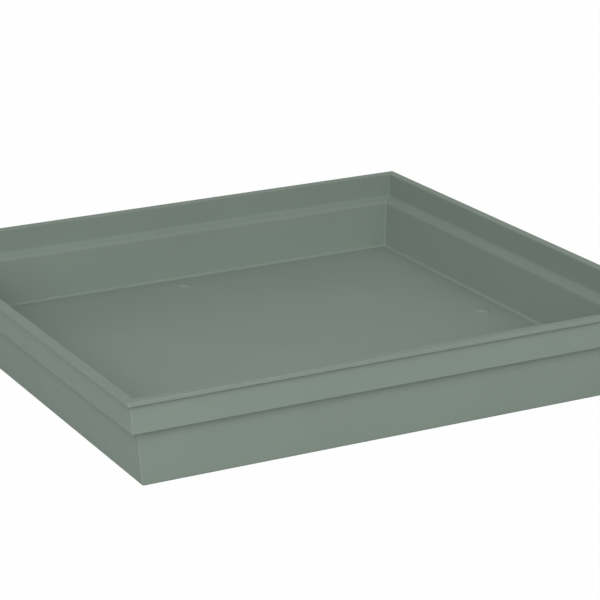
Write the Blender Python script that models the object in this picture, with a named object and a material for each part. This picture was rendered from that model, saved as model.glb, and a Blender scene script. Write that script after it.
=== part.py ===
"""Square plant saucer, one moulding in matte sage-green plastic.

The wall is a sheet of even thickness in two flights: a tapered lower wall, and
above it an upright band that stands further out and ends in a small lip. A flat
step joins them outside, and a falling ledge joins them inside. Their section is
an outline of corners in (inset, z), inset being the distance in from the lip's
outer face. Each corner is rounded by its own radius, and every point of the
rounded outline becomes one closed ring round the square plan. The rings are
bridged into one skin, and the floor's pips are joined on.

Units are metres and +Z is up. The saucer stands on z = 0 with its centre on
the Z axis, and its sides face along X and Y.
"""

from math import acos, atan2, ceil, cos, pi, radians, sin, tan

import bmesh
import bpy
from mathutils import Vector

# Overall size
SIDE = 0.400  # over the lip, both ways
HEIGHT = 0.060

# Sheet
WALL = 0.0038  # square to the face, in the band and in the lower wall
FLOOR = 0.0028

# Lip and band
LIP_HEIGHT = 0.0030
LIP_REACH = 0.0029  # how far the lip stands out from the band
BAND_HEIGHT = 0.0190  # from the lip's underside to the band's lower edge
BAND_DRAFT = radians(1.5)

# Step under the band, and the lower wall
STEP_REACH = 0.0052  # how far the band overhangs the lower wall
LEDGE_RISE = 0.0039  # from the band's lower edge up to where the ledge starts inside
LEDGE_FALL = radians(31)
WALL_DRAFT = radians(6.4)

# Foot: a flat border round the underside, with the middle raised clear of the ground
FOOT_HEIGHT = 0.0012
FOOT_WIDTH = 0.012

# Pips that hold the pot off the floor, one near the middle of each side
PIP_DIAMETER = 0.010
PIP_HEIGHT = 0.0012
PIP_FROM_EDGE = 0.0345  # from the lip's outer face to the pip's centre
PIP_ROOT = 0.0010  # how deep a pip's body reaches into the floor

# Rounding of the section's corners
LIP_ROUND = 0.0006
RIM_INNER_ROUND = 0.0008
LIP_ROOT_ROUND = 0.0004
BAND_EDGE_ROUND = 0.0005
STEP_ROUND = 0.0015
LEDGE_ROOT_ROUND = 0.0030
LEDGE_EDGE_ROUND = 0.0040
BASE_ROUND = 0.0015
FLOOR_FILLET = 0.0020
FOOT_ROUND = 0.0004

# Rounding of the plan's corners
OUTER_CORNER = 0.0012
INNER_CORNER = 0.0016

# Facets
CORNER_STEPS = 6  # facets round each corner of the plan
ARC_STEP = radians(15)  # most that a rounding turns from one facet to the next
PIP_FACETS = 24
PIP_RINGS = 3

# Finish
SAGE_GREEN = (0.20, 0.25, 0.21, 1.0)
ROUGHNESS = 0.7


def clear_scene():
    for obj in list(bpy.data.objects):
        bpy.data.objects.remove(obj, do_unlink=True)


def plastic():
    """Moulded polypropylene, coloured through."""
    material = bpy.data.materials.new("sage_plastic")
    material.use_nodes = True
    shader = material.node_tree.nodes["Principled BSDF"]
    shader.inputs["Base Color"].default_value = SAGE_GREEN
    shader.inputs["Roughness"].default_value = ROUGHNESS
    shader.inputs["Metallic"].default_value = 0.0
    return material


def at_height(line, z):
    """Point at height z on the straight line through two points."""
    p, q = line
    return p + (q - p) * ((z - p.y) / (q.y - p.y))


def meet(p, u, q, v):
    """Point where the line through p along u meets the line through q along v."""
    across = u.x * v.y - u.y * v.x
    reach = ((q.x - p.x) * v.y - (q.y - p.y) * v.x) / across
    return p + u * reach


def moved_inwards(line, distance):
    """A straight line that runs downwards, shifted square to itself towards the middle."""
    run = (line[1] - line[0]).normalized()
    shift = Vector((-run.y, run.x)) * distance
    return [point + shift for point in line]


def section():
    """Corners of the section as (point, rounding, plan corner), from underside to floor."""
    lip_foot = HEIGHT - LIP_HEIGHT
    band_foot = lip_foot - BAND_HEIGHT
    band_edge = Vector((LIP_REACH + BAND_HEIGHT * tan(BAND_DRAFT), band_foot))
    band = [Vector((LIP_REACH, lip_foot)), band_edge]
    step_root = band_edge + Vector((STEP_REACH, 0.0))
    base = Vector((step_root.x + band_foot * tan(WALL_DRAFT), 0.0))
    wall = [step_root, base]

    floor_top = FOOT_HEIGHT + FLOOR
    band_inside = moved_inwards(band, WALL)
    wall_inside = moved_inwards(wall, WALL)
    ledge_root = at_height(band_inside, band_foot + LEDGE_RISE)
    ledge_run = Vector((cos(LEDGE_FALL), -sin(LEDGE_FALL)))
    ledge_edge = meet(ledge_root, ledge_run, wall_inside[0], base - step_root)
    foot_inner = base.x + FOOT_WIDTH
    middle = SIDE / 2
    return [
        (Vector((middle, FOOT_HEIGHT)), 0.0, OUTER_CORNER),
        (Vector((foot_inner + FOOT_HEIGHT, FOOT_HEIGHT)), FOOT_ROUND, OUTER_CORNER),
        (Vector((foot_inner, 0.0)), FOOT_ROUND, OUTER_CORNER),
        (base, BASE_ROUND, OUTER_CORNER),
        (step_root, STEP_ROUND, OUTER_CORNER),
        (band_edge, BAND_EDGE_ROUND, OUTER_CORNER),
        (band[0], LIP_ROOT_ROUND, OUTER_CORNER),
        (Vector((0.0, lip_foot)), LIP_ROUND, OUTER_CORNER),
        (Vector((0.0, HEIGHT)), LIP_ROUND, OUTER_CORNER),
        (at_height(band_inside, HEIGHT), RIM_INNER_ROUND, INNER_CORNER),
        (ledge_root, LEDGE_ROOT_ROUND, INNER_CORNER),
        (ledge_edge, LEDGE_EDGE_ROUND, INNER_CORNER),
        (at_height(wall_inside, floor_top), FLOOR_FILLET, INNER_CORNER),
        (Vector((middle, floor_top)), 0.0, INNER_CORNER),
    ]


def rounded(corner, before, after, radius):
    """Points of the arc of the given radius that takes the place of a sharp corner."""
    back = (before - corner).normalized()
    on = (after - corner).normalized()
    half = acos(max(-1.0, min(1.0, back.dot(on)))) / 2
    turn = pi - 2 * half
    centre = corner + (back + on).normalized() * (radius / sin(half))
    start = corner + back * (radius / tan(half)) - centre
    spin = 1.0 if back.x * on.y - back.y * on.x < 0 else -1.0
    steps = max(2, ceil(turn / ARC_STEP))
    first = atan2(start.y, start.x)
    angles = [first + spin * turn * i / steps for i in range(steps + 1)]
    return [centre + Vector((cos(a), sin(a))) * radius for a in angles]


def outline():
    """The section with its corners rounded, as (inset, z, plan corner)."""
    corners = section()
    levels = []
    for i, (point, radius, plan_corner) in enumerate(corners[1:-1], start=1):
        arc = rounded(point, corners[i - 1][0], corners[i + 1][0], radius)
        levels += [(p.x, p.y, plan_corner) for p in arc]
    return levels


def ring(bm, inset, z, corner):
    """Closed ring of vertices: a square plan at this inset, its corners rounded."""
    reach = SIDE / 2 - inset - corner
    verts = []
    for quarter in range(4):
        start = quarter * pi / 2
        centre = Vector((cos(start + pi / 4), sin(start + pi / 4))) * (reach * 2 ** 0.5)
        for step in range(CORNER_STEPS + 1):
            angle = start + step / CORNER_STEPS * pi / 2
            verts.append(bm.verts.new((centre.x + corner * cos(angle), centre.y + corner * sin(angle), z)))
    return verts


def bridge(bm, low, high):
    """Band of four-sided faces between two rings, facing away from the solid."""
    count = len(low)
    for i in range(count):
        j = (i + 1) % count
        bm.faces.new((low[i], low[j], high[j], high[i]))


def shell_mesh():
    """The moulding without its pips, skinned from the underside round to the floor."""
    bm = bmesh.new()
    rings = [ring(bm, inset, z, corner) for inset, z, corner in outline()]
    for low, high in zip(rings, rings[1:]):
        bridge(bm, low, high)
    bm.faces.new(reversed(rings[0]))
    bm.faces.new(rings[-1])
    bmesh.ops.recalc_face_normals(bm, faces=bm.faces)
    mesh = bpy.data.meshes.new("saucer")
    bm.to_mesh(mesh)
    bm.free()
    return mesh


def pip_mesh():
    """One low dome on a short round root, spun about its own axis from its side outline."""
    radius = PIP_DIAMETER / 2
    dome = (radius ** 2 + PIP_HEIGHT ** 2) / (2 * PIP_HEIGHT)
    half_angle = atan2(radius, dome - PIP_HEIGHT)
    arc = [half_angle * i / PIP_RINGS for i in range(PIP_RINGS + 1)]
    side = [(dome * sin(a), dome * cos(a) - dome + PIP_HEIGHT) for a in arc]
    side += [(radius, -PIP_ROOT), (0.0, -PIP_ROOT)]
    bm = bmesh.new()
    verts = [bm.verts.new((x, 0.0, z)) for x, z in side]
    edges = [bm.edges.new(pair) for pair in zip(verts, verts[1:])]
    bmesh.ops.spin(bm, geom=verts + edges, cent=(0, 0, 0), axis=(0, 0, 1), angle=2 * pi, steps=PIP_FACETS)
    bmesh.ops.remove_doubles(bm, verts=bm.verts, dist=1e-6)
    bmesh.ops.recalc_face_normals(bm, faces=bm.faces)
    mesh = bpy.data.meshes.new("pip")
    bm.to_mesh(mesh)
    bm.free()
    return mesh


def add_object(name, mesh):
    obj = bpy.data.objects.new(name, mesh)
    bpy.context.scene.collection.objects.link(obj)
    return obj


def join_pips(saucer):
    """Four pips on the floor, one near the middle of each side, joined to the moulding."""
    mesh = pip_mesh()
    out = SIDE / 2 - PIP_FROM_EDGE
    for quarter in range(4):
        angle = quarter * pi / 2
        pip = add_object(f"pip_guide_{quarter + 1}", mesh)
        pip.location = (out * cos(angle), out * sin(angle), FOOT_HEIGHT + FLOOR)
        pip.hide_render = True
        pip.display_type = "WIRE"
        union = saucer.modifiers.new(f"pip {quarter + 1}", "BOOLEAN")
        union.operation = "UNION"
        union.solver = "EXACT"
        union.object = pip


def shade(mesh):
    """Smooth over the roundings, crisp where a face turns sharply."""
    mesh.shade_smooth()
    mesh.set_sharp_from_angle(angle=radians(40))


def build():
    clear_scene()
    mesh = shell_mesh()
    mesh.materials.append(plastic())
    shade(mesh)
    saucer = add_object("saucer", mesh)
    join_pips(saucer)


build()
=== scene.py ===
"""Square plant saucer in matte sage-green plastic: its moulded surface, its finish and the studio.

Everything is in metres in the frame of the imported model: the saucer stands on z = 0 with its
centre on the Z axis. The camera looks from the front, a little to the left and from above.
"""

from math import cos, pi, radians, sin, tan

import bpy
import numpy as np
from mathutils import Matrix, Vector


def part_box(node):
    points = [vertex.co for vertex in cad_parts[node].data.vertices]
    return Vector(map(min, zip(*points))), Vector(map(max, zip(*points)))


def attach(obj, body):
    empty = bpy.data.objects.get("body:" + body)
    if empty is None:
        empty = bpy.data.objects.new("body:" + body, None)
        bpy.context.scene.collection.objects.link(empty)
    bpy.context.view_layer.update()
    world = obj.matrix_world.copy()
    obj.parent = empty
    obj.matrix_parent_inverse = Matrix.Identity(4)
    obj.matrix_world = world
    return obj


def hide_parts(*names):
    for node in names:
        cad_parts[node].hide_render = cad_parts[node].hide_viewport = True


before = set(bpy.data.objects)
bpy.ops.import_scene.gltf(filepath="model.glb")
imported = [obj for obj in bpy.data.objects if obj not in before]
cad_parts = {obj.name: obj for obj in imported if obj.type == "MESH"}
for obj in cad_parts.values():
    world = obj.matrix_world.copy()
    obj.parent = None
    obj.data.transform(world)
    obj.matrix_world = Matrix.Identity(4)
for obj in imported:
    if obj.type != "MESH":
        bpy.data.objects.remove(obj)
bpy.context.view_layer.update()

# Overall size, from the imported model
LOW, HIGH = (np.array(corner, float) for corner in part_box("saucer"))
HALF = (HIGH[0] - LOW[0]) / 2
HEIGHT = HIGH[2] - LOW[2]

# Sheet
WALL = 0.0038
FLOOR = 0.0028
FOOT_HEIGHT = 0.0012
FOOT_WIDTH = 0.012
FLOOR_TOP = FOOT_HEIGHT + FLOOR

# Lip and band
LIP_HEIGHT = 0.0030
LIP_REACH = 0.0029  # how far the lip stands out from the band
BAND_HEIGHT = 0.0190
BAND_DRAFT = radians(1.5)

# Step under the band, and the lower wall
STEP_REACH = 0.0052  # how far the band overhangs the lower wall
LEDGE_RISE = 0.0039  # from the band's lower edge up to where the ledge starts inside
LEDGE_FALL = radians(31)
WALL_DRAFT = radians(6.4)

# Rounding of the section's corners
LIP_ROUND = 0.0006
RIM_INNER_ROUND = 0.0008
LIP_ROOT_ROUND = 0.0004
BAND_EDGE_ROUND = 0.0005
STEP_ROUND = 0.0015
LEDGE_ROOT_ROUND = 0.0030
LEDGE_EDGE_ROUND = 0.0040
BASE_ROUND = 0.0015
FLOOR_FILLET = 0.0020
FOOT_ROUND = 0.0004

# Rounding of the plan's corners, sharper than the solid's so that they catch the light only faintly
OUTER_CORNER = 0.0007
INNER_CORNER = 0.0009

# Pips that hold the pot off the floor
PIP_RADIUS = 0.0056
PIP_HEIGHT = 0.0012
PIP_FROM_EDGE = 0.0345  # from the lip's outer face to the pip's centre
PIP_OUT = HALF - PIP_FROM_EDGE

# Gate mark under the middle of the floor, where the plastic was let into the mould
GATE_DISH_RADIUS = 0.0080
GATE_DISH_DEPTH = 0.0004
GATE_NUB_RADIUS = 0.0018
GATE_NUB_HEIGHT = 0.0005

# Fineness of the grid
ARC_POINTS = 9
HOLD = 0.00025  # how far a holding ring stands from the end of a rounding
END_RUN = 0.05  # length of the level run that is taken to lead into and out of the section
CORNER_POINTS = 9
SIDE_POINTS = 61
SIDE_CROWDING = 4.4  # how strongly the points along a side crowd round its middle, where the pips are
UNDER_RINGS = 14  # from the foot's inner edge in to the gate mark's surroundings, both counted
GATE_SURROUND = 2 * GATE_DISH_RADIUS
GATE_RINGS = 27
GATE_RINGS_SPAN = (1.35, 0.05)  # first and last of them, as shares of the dish's radius
PIP_RING_STEP = 0.0005
PIP_RINGS_REACH = 0.008  # how far the close rings reach to each side of the pips' centres
MIDDLE_RINGS = 22  # from the last close ring in to the floor's middle, both counted
LAST_RING = 0.002  # half width of the last ring round the floor's middle
ROUND_BEGINS = 0.030  # half width of the ring at which the square starts to turn into a circle
ROUND_DONE = 1.4 * GATE_DISH_RADIUS

# Camera, solved from the straight edges of the photographed saucer
CAMERA_PLACE = (-0.7302, -1.4933, 0.5646)
CAMERA_YAW = radians(26.539)
CAMERA_PITCH = radians(17.583)
CAMERA_ROLL = radians(0.967)
FOCAL_PIXELS = 2490.3
FRAME_PIXELS = 600
SENSOR_WIDTH = 36.0  # millimetres

# Colours of the plastic. The pale and deep sage are partly the plastic's own tone and partly painted light
# and painted shade.
SAGE = (0.204, 0.252, 0.217, 1.0)
SAGE_PALE_PAINTED_LIGHT = (0.208, 0.257, 0.221, 1.0)
SAGE_DEEP_PAINTED_SHADE = (0.200, 0.247, 0.213, 1.0)
# size of the drift's lumps, whose pale and deep patches are partly painted light and painted shade
DRIFT_AND_PAINTED_LIGHT_SIZE = 0.090
DRIFT_AND_PAINTED_LIGHT_RANGE = (0.30, 0.70)  # noise at which the colour is all deep, and all pale
SPECK_SIZE = 0.0011
SPECK_RANGE = (0.35, 0.75)  # noise at which there is no speck, and a full one
SPECK_SHARE = 0.30

# Relief of the plastic's surface
GRAIN_SIZE = 0.0006
GRAIN_DEPTH = 0.000030
PIT_SIZE = 0.0009
PIT_RANGE = (0.0, 0.55)  # from a pit's bottom to its brim, as a share of its size
PIT_DEPTH = 0.000018
WAVE_SIZE = 0.045
WAVE_DEPTH = 0.00035

# Gloss of the plastic
FLOOR_ROUGHNESS = 0.57
GRAIN_ROUGHNESS = 0.06
WALLS_ROUGHER = 0.25
WALLS_BEGIN = 0.0165  # how far in from the lip's outer face the walls' rougher finish begins
WALLS_BLEND = 0.0015  # width over which the floor's finish turns into the walls'
FOOT_SMOOTHER = 0.14
FOOT_POLISH_TOP = 0.0006  # height at which the foot's polish ends
REFRACTION = 1.49  # index of polypropylene
SPECULAR_LEVEL = 0.23  # under the usual 0.5, because the grain breaks the reflection up

# Studio
WHITE = (1.0, 1.0, 1.0, 1.0)
GROUND_HALF = 6.0
GROUND_GAP = 0.0001  # how far the studio's floor lies under the saucer
GROUND_COLOUR = (0.85, 0.85, 0.85, 1.0)
GROUND_GLOW = 0.985  # share of the floor that the camera sees as white
ROOM_LIGHT = 0.15  # strength of the room's own light, where the camera sees 1

# Soft lamps: name, place, width and watts. Each is turned to the middle of the saucer.
SOFT_LAMPS = (
    ("front_softbox", (0.3, -3.8, 1.6), 1.8, 36.4),
    ("front_left_softbox", (-2.6, -2.6, 1.6), 1.6, 43.6),
    ("upper_left_softbox", (-2.3, -2.3, 2.3), 1.4, 57.0),
    ("overhead_softbox", (0.9, 0.9, 3.0), 1.2, 13.0),
    ("back_softbox", (0.0, 3.8, 1.6), 1.8, 8.2),
    ("low_back_fill", (2.6, 2.6, 0.45), 0.8, 36.4),
    ("near_left_fill", (-0.8, -0.5, 1.3), 0.8, 3.2),
)


def along(line, height):
    """Point of a sloping line, given as two points in (inset, z), at a height."""
    (x0, z0), (x1, z1) = line
    return np.array((x0 + (x1 - x0) * (height - z0) / (z1 - z0), height))


def crossing(p, u, q, v):
    """Point where the line through p along u meets the line through q along v."""
    return p + u * ((q[0] - p[0]) * v[1] - (q[1] - p[1]) * v[0]) / (u[0] * v[1] - u[1] * v[0])


def moved_inwards(line, distance):
    """A straight line of two points that runs downwards, shifted square to itself towards the middle."""
    run = line[1] - line[0]
    return line + np.array((-run[1], run[0])) * (distance / np.hypot(*run))


def section_corners():
    """Sharp corners of the section as (inset, z), their roundings and the plan's corner radius at each.

    Inset is the distance in from the lip's outer face. The band and the lower wall are sheets of
    even thickness. Outside, a flat step joins them. Inside, a ledge falls from the band's face to
    where it meets the lower wall's face.
    """
    lip_foot = HEIGHT - LIP_HEIGHT
    band_foot = lip_foot - BAND_HEIGHT
    band = np.array(((LIP_REACH, lip_foot), (LIP_REACH + BAND_HEIGHT * tan(BAND_DRAFT), band_foot)))
    step_root = (band[1, 0] + STEP_REACH, band_foot)
    wall = np.array((step_root, (step_root[0] + band_foot * tan(WALL_DRAFT), 0.0)))
    band_inside = moved_inwards(band, WALL)
    wall_inside = moved_inwards(wall, WALL)
    ledge_root = along(band_inside, band_foot + LEDGE_RISE)
    ledge_run = np.array((cos(LEDGE_FALL), -sin(LEDGE_FALL)))
    ledge_edge = crossing(ledge_root, ledge_run, wall_inside[0], wall[1] - wall[0])
    foot_inner = wall[1, 0] + FOOT_WIDTH
    corners = [
        ((foot_inner + FOOT_HEIGHT, FOOT_HEIGHT), FOOT_ROUND, OUTER_CORNER),
        ((foot_inner, 0.0), FOOT_ROUND, OUTER_CORNER),
        (wall[1], BASE_ROUND, OUTER_CORNER),
        (wall[0], STEP_ROUND, OUTER_CORNER),
        (band[1], BAND_EDGE_ROUND, OUTER_CORNER),
        (band[0], LIP_ROOT_ROUND, OUTER_CORNER),
        ((0.0, lip_foot), LIP_ROUND, OUTER_CORNER),
        ((0.0, HEIGHT), LIP_ROUND, OUTER_CORNER),
        (along(band_inside, HEIGHT), RIM_INNER_ROUND, INNER_CORNER),
        (ledge_root, LEDGE_ROOT_ROUND, INNER_CORNER),
        (ledge_edge, LEDGE_EDGE_ROUND, INNER_CORNER),
        (along(wall_inside, FLOOR_TOP), FLOOR_FILLET, INNER_CORNER),
    ]
    points, roundings, plan_corners = zip(*corners)
    return np.array(points), np.array(roundings), np.array(plan_corners)


def rounded_section():
    """The section with every corner turned into an arc, as (inset, z) and plan corner radius.

    An arc's centre lies on the bisector of its corner, at radius / sin(half angle) from it. Each
    point is centre + radius (cos a, sin a), a running from one run's square direction to the
    next one's. A holding point stands a little before and after each arc, on the straight runs.
    """
    points, radii, plan_corners = section_corners()
    level = (END_RUN, 0.0)
    before = np.vstack((points[:1] + level, points[:-1])) - points
    after = np.vstack((points[1:], points[-1:] + level)) - points
    before /= np.linalg.norm(before, axis=1)[:, None]
    after /= np.linalg.norm(after, axis=1)[:, None]
    half = np.arccos(np.clip((before * after).sum(axis=1), -1.0, 1.0)) / 2
    bisector = before + after
    bisector /= np.linalg.norm(bisector, axis=1)[:, None]
    centre = points + bisector * (radii / np.sin(half))[:, None]
    reach = (radii / np.tan(half))[:, None]
    start = points + before * reach
    end = points + after * reach
    first = np.arctan2(*(start - centre).T[::-1])
    turn = np.arctan2(*(end - centre).T[::-1]) - first
    turn = (turn + pi) % (2 * pi) - pi
    angle = first[:, None] + turn[:, None] * np.linspace(0.0, 1.0, ARC_POINTS)
    arc = centre[:, None] + radii[:, None, None] * np.stack((np.cos(angle), np.sin(angle)), axis=2)
    lines = np.concatenate(((start + before * HOLD)[:, None], arc, (end + after * HOLD)[:, None]), axis=1)
    return lines.reshape(-1, 2), np.repeat(plan_corners, ARC_POINTS + 2)


def rings():
    """Every ring of the skin as half width, z and plan corner radius, from under the middle to above it.

    Half widths shrink by an even ratio over the plain stretches, and by even steps over the gate
    mark and the pips. No plan corner is more than half as big as its ring's half width.
    """
    section, plan_corners = rounded_section()
    plain = np.geomspace(HALF - section[0, 0], GATE_SURROUND, UNDER_RINGS)[1:]
    gate = np.linspace(*GATE_RINGS_SPAN, GATE_RINGS) * GATE_DISH_RADIUS
    under = np.concatenate((plain, gate))[::-1]
    pips = np.arange(PIP_OUT + PIP_RINGS_REACH, PIP_OUT - PIP_RINGS_REACH, -PIP_RING_STEP)
    above = np.concatenate((pips, np.geomspace(pips[-1], LAST_RING, MIDDLE_RINGS)[1:]))
    stretches = (
        (under, FOOT_HEIGHT, OUTER_CORNER),
        (HALF - section[:, 0], section[:, 1], plan_corners),
        (above, FLOOR_TOP, INNER_CORNER),
    )
    half, z, corner = np.concatenate([np.broadcast_arrays(*stretch) for stretch in stretches], axis=1)
    return half, z, np.minimum(corner, half / 2)


def roundness(half):
    """0 where a ring is square, 1 where it is a circle, and between them 3 s squared - 2 s cubed.

    The share s runs from 0 at the ring where the turning begins to 1 at the one where it is done.
    """
    share = np.clip((ROUND_BEGINS - half) / (ROUND_BEGINS - ROUND_DONE), 0.0, 1.0)
    return share ** 2 * (3 - 2 * share)


def plan(half, corner):
    """X and Y of every ring's points.

    A point stands at a share s along one side of the square of half width (half - corner), moved
    out by corner in the direction theta. Theta is 0 along the side and turns through 90 degrees
    round the end, where s stays 1. The four sides are the same points turned by quarters. The
    shares are sinh(k t) / sinh(k), which crowds them round the middle, with one more close to
    each end to hold the flat. Near the middle of the saucer each point slides along its own ray,
    until the ring is a circle.
    """
    t = np.linspace(-1.0, 1.0, SIDE_POINTS)
    share = np.sinh(SIDE_CROWDING * t) / np.sinh(SIDE_CROWDING)
    hold = 1.0 - HOLD / HALF
    share = np.concatenate((share[:1], [-hold], share[1:-1], [hold], share[-1:]))
    turn = np.linspace(0.0, pi / 2, CORNER_POINTS)[1:-1]
    theta = np.concatenate((np.zeros(len(share)), turn))
    share = np.concatenate((share, np.ones(len(turn))))
    flat = (half - corner)[:, None]
    x = flat + corner[:, None] * np.cos(theta)
    y = flat * share + corner[:, None] * np.sin(theta)
    drawn_in = 1.0 + roundness(half)[:, None] * (half[:, None] / np.hypot(x, y) - 1.0)
    x, y = x * drawn_in, y * drawn_in
    return np.hstack((x, -y, -x, y)), np.hstack((y, x, -y, -x))


def pip_rise(x, y):
    """Height of the pips over the floor: H (1 - q cubed) squared, q being the share of the pip's radius."""
    rise = np.zeros_like(x)
    for quarter in range(4):
        angle = quarter * pi / 2
        q = np.hypot(x - PIP_OUT * cos(angle), y - PIP_OUT * sin(angle)) / PIP_RADIUS
        rise += PIP_HEIGHT * (1.0 - np.minimum(q, 1.0) ** 3) ** 2
    return rise


def gate_mark(x, y):
    """Height of the gate mark over the underside: a shallow round dish with a nub in its middle.

    The dish rises by D (1 - q to the sixth) squared, and the nub hangs down from it by
    N (1 - p to the fourth) squared, q and p being the shares of their radii.
    """
    r = np.hypot(x, y)
    dish = GATE_DISH_DEPTH * (1.0 - np.minimum(r / GATE_DISH_RADIUS, 1.0) ** 6) ** 2
    nub = GATE_NUB_HEIGHT * (1.0 - np.minimum(r / GATE_NUB_RADIUS, 1.0) ** 4) ** 2
    return dish - nub


def closed_skin(name, x, y, z):
    """Mesh of a grid of rings, each closed on itself, the first and last drawn together to a pole.

    Ring i and column j give vertex i n + j. Each cell between two rings and two columns is one
    four-sided face, and a fan of triangles joins the end rings to their poles.
    """
    count, n = x.shape
    points = np.stack((x, y, z), axis=2).reshape(-1, 3)
    poles = np.array(((0.0, 0.0, z[0].mean()), (0.0, 0.0, z[-1].mean())))
    i = np.arange(count - 1)[:, None] * n
    j = np.arange(n)[None, :]
    k = (j + 1) % n
    cells = np.stack((i + j, i + k, i + n + k, i + n + j), axis=2).reshape(-1, 4)
    j, k = j[0], k[0]
    first = np.stack((np.full(n, count * n), k, j), axis=1)
    last = np.stack((np.full(n, count * n + 1), (count - 1) * n + j, (count - 1) * n + k), axis=1)
    mesh = bpy.data.meshes.new(name)
    mesh.from_pydata(np.vstack((points, poles)), [], cells.tolist() + first.tolist() + last.tolist())
    mesh.validate()
    mesh.shade_smooth()
    return mesh


def saucer_piece():
    """The whole moulding as one closed skin: rings carried along the section, with pips and gate mark."""
    half, z, corner = rings()
    x, y = plan(half, corner)
    z = np.repeat(z[:, None], x.shape[1], axis=1)
    lip = len(z) // 2  # halfway along is the lip, with the underside before it and the dish after it
    z[:lip] += gate_mark(x[:lip], y[:lip])
    z[lip:] += pip_rise(x[lip:], y[lip:])
    piece = bpy.data.objects.new("saucer_moulding", closed_skin("saucer_moulding", x, y, z))
    bpy.context.scene.collection.objects.link(piece)
    return piece


class Wire:
    """An output of a node. Arithmetic on wires adds the Math nodes that work it out."""

    def __init__(self, finish, socket):
        self.finish = finish
        self.socket = socket

    def __add__(self, other):
        return self.finish.math("ADD", self, other)

    def __radd__(self, other):
        return self.finish.math("ADD", other, self)

    def __sub__(self, other):
        return self.finish.math("SUBTRACT", self, other)

    def __rsub__(self, other):
        return self.finish.math("SUBTRACT", other, self)

    def __mul__(self, other):
        return self.finish.math("MULTIPLY", self, other)

    def __rmul__(self, other):
        return self.finish.math("MULTIPLY", other, self)


class Finish:
    """The nodes of a material or of the world, written as expressions on their outputs."""

    def __init__(self, owner):
        owner.use_nodes = True
        self.owner = owner
        self.tree = owner.node_tree
        self.tree.nodes.clear()

    def node(self, kind, settings=None, sockets=None, output=0):
        """Add a node: its settings first, then its sockets' values or links. Gives one output back."""
        node = self.tree.nodes.new(kind)
        for key, value in (settings or {}).items():
            setattr(node, key, value)
        for key, value in (sockets or {}).items():
            if isinstance(value, Wire):
                self.tree.links.new(value.socket, node.inputs[key])
            else:
                node.inputs[key].default_value = value
        return Wire(self, node.outputs[output]) if node.outputs else None

    def math(self, operation, *values):
        return self.node("ShaderNodeMath", {"operation": operation}, dict(enumerate(values)))

    def coordinates(self, place):
        """The three coordinates of a vector."""
        split = self.node("ShaderNodeSeparateXYZ", None, {0: place}).socket.node
        return [Wire(self, socket) for socket in split.outputs]

    def mix_colour(self, share, first, second):
        settings = {"data_type": "RGBA"}
        return self.node("ShaderNodeMix", settings, {0: share, 6: first, 7: second}, output=2)

    def noise(self, place, size, detail, roughness=0.5):
        """Noise from 0 to 1 whose lumps are about size metres across."""
        sockets = {"Vector": place, "Scale": 1.0 / size, "Detail": detail, "Roughness": roughness}
        return self.node("ShaderNodeTexNoise", None, sockets)

    def pits(self, place, size):
        """Distance to the nearest of many scattered points that are about size metres apart."""
        return self.node("ShaderNodeTexVoronoi", {"feature": "F1"}, {"Vector": place, "Scale": 1.0 / size})

    def smooth(self, value, low, high):
        """0 below low, 1 above high, and a smooth step between."""
        sockets = {"Value": value, "From Min": low, "From Max": high}
        return self.node("ShaderNodeMapRange", {"interpolation_type": "SMOOTHSTEP"}, sockets)

    def seen(self):
        """1 for rays from the camera and rays mirrored in gloss, 0 for all others."""
        straight = self.node("ShaderNodeLightPath", output="Is Camera Ray")
        mirrored = self.node("ShaderNodeLightPath", output="Is Glossy Ray")
        return self.math("MAXIMUM", straight, mirrored)

    def surface(self, shader, kind="ShaderNodeOutputMaterial"):
        """Send the shader to the output node, and give the material or world back."""
        self.node(kind, None, {"Surface": shader})
        return self.owner


def moulded_plastic():
    """Sage-green plastic, coloured through, with the fine grain that a spark-eroded mould leaves.

    The colour drifts a little over a hand's breadth; this drift is partly the plastic's own tone and
    partly painted light and painted shade. The grain is a bump of half a millimetre's width on all
    faces, among small pits, over waves that the cooling leaves in the flats. The dish's floor is
    smoother than the walls, and the foot is polished by what it stands on.
    """
    finish = Finish(bpy.data.materials.new("matte_sage_plastic"))
    place = finish.node("ShaderNodeTexCoord", output="Object")
    x, y, height = finish.coordinates(place)
    out = finish.math("MAXIMUM", finish.math("ABSOLUTE", x), finish.math("ABSOLUTE", y))

    # colour drift: partly the plastic's own tone, partly painted light and painted shade
    tone_drift_and_painted_light = finish.noise(place, DRIFT_AND_PAINTED_LIGHT_SIZE, detail=3.0)
    speck = finish.noise(place, SPECK_SIZE, detail=2.0)
    colour = finish.mix_colour(finish.smooth(tone_drift_and_painted_light, *DRIFT_AND_PAINTED_LIGHT_RANGE), SAGE_DEEP_PAINTED_SHADE, SAGE_PALE_PAINTED_LIGHT)
    colour = finish.mix_colour(finish.smooth(speck, *SPECK_RANGE) * SPECK_SHARE, colour, SAGE)

    grain = finish.noise(place, GRAIN_SIZE, detail=3.0, roughness=0.6)
    pits = finish.smooth(finish.pits(place, PIT_SIZE), *PIT_RANGE)
    waves = finish.noise(place, WAVE_SIZE, detail=1.0)
    relief = grain * GRAIN_DEPTH + pits * PIT_DEPTH + waves * WAVE_DEPTH

    walls = finish.smooth(out, HALF - WALLS_BEGIN, HALF - WALLS_BEGIN + WALLS_BLEND)
    foot = 1.0 - finish.smooth(height, 0.0, FOOT_POLISH_TOP)
    roughness = FLOOR_ROUGHNESS + GRAIN_ROUGHNESS * grain + WALLS_ROUGHER * walls - FOOT_SMOOTHER * foot
    bump = finish.node("ShaderNodeBump", None, {"Strength": 1.0, "Distance": 1.0, "Height": relief})
    return finish.surface(finish.node("ShaderNodeBsdfPrincipled", None, {
        "Base Color": colour,
        "Roughness": roughness,
        "Normal": bump,
        "IOR": REFRACTION,
        "Specular IOR Level": SPECULAR_LEVEL,
    }))


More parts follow.
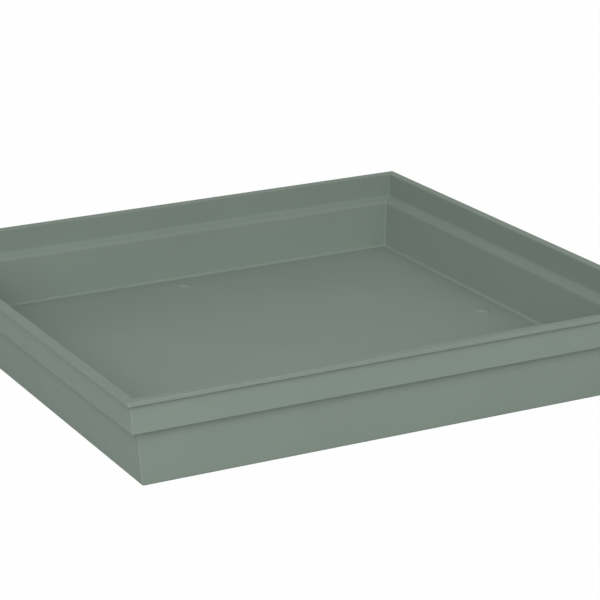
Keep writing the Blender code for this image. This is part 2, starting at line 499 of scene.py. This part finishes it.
def white_floor():
    """Pale floor that the camera sees as white, with enough of the real floor left to hold a shadow."""
    finish = Finish(bpy.data.materials.new("white_floor"))
    matt = finish.node("ShaderNodeBsdfDiffuse", None, {"Color": GROUND_COLOUR})
    glow = finish.node("ShaderNodeEmission", None, {"Color": WHITE, "Strength": 1.0})
    share = finish.seen() * GROUND_GLOW
    return finish.surface(finish.node("ShaderNodeMixShader", None, {0: share, 1: matt, 2: glow}))


def studio_floor():
    """A wide flat floor, a hair's breadth under the saucer."""
    mesh = bpy.data.meshes.new("floor")
    corners = np.array(((-1, -1), (1, -1), (1, 1), (-1, 1))) * GROUND_HALF
    mesh.from_pydata(np.column_stack((corners, np.full(4, -GROUND_GAP))), [], [(0, 1, 2, 3)])
    mesh.materials.append(white_floor())
    floor = bpy.data.objects.new("floor", mesh)
    bpy.context.scene.collection.objects.link(floor)


def white_room():
    """World that the camera and reflections see as white, and that adds a little even light."""
    finish = Finish(bpy.data.worlds.new("white_room"))
    strength = ROOM_LIGHT + (1.0 - ROOM_LIGHT) * finish.seen()
    background = finish.node("ShaderNodeBackground", None, {"Color": WHITE, "Strength": strength})
    bpy.context.scene.world = finish.surface(background, "ShaderNodeOutputWorld")


def soft_lamp(name, place, width, watts):
    light = bpy.data.lights.new(name, "AREA")
    light.shape = "SQUARE"
    light.size = width
    light.energy = watts
    lamp = bpy.data.objects.new(name, light)
    lamp.location = place
    aim = Vector((0.0, 0.0, HEIGHT / 2)) - Vector(place)
    lamp.rotation_euler = aim.to_track_quat("-Z", "Y").to_euler()
    lamp.visible_camera = False
    bpy.context.scene.collection.objects.link(lamp)


def camera():
    """Camera at the photograph's place: turned right by the yaw, down by the pitch and over by the roll."""
    data = bpy.data.cameras.new("camera")
    data.sensor_width = SENSOR_WIDTH
    data.lens = SENSOR_WIDTH * FOCAL_PIXELS / FRAME_PIXELS
    view = bpy.data.objects.new("camera", data)
    turned = Matrix.Rotation(-CAMERA_YAW, 4, "Z") @ Matrix.Rotation(pi / 2 - CAMERA_PITCH, 4, "X")
    view.matrix_world = Matrix.Translation(CAMERA_PLACE) @ turned @ Matrix.Rotation(-CAMERA_ROLL, 4, "Z")
    bpy.context.scene.collection.objects.link(view)
    bpy.context.scene.camera = view


saucer = saucer_piece()
saucer.data.materials.append(moulded_plastic())
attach(saucer, "root")
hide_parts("saucer")

studio_floor()
white_room()
for lamp in SOFT_LAMPS:
    soft_lamp(*lamp)
camera()
bpy.context.scene.view_settings.view_transform = "Standard"
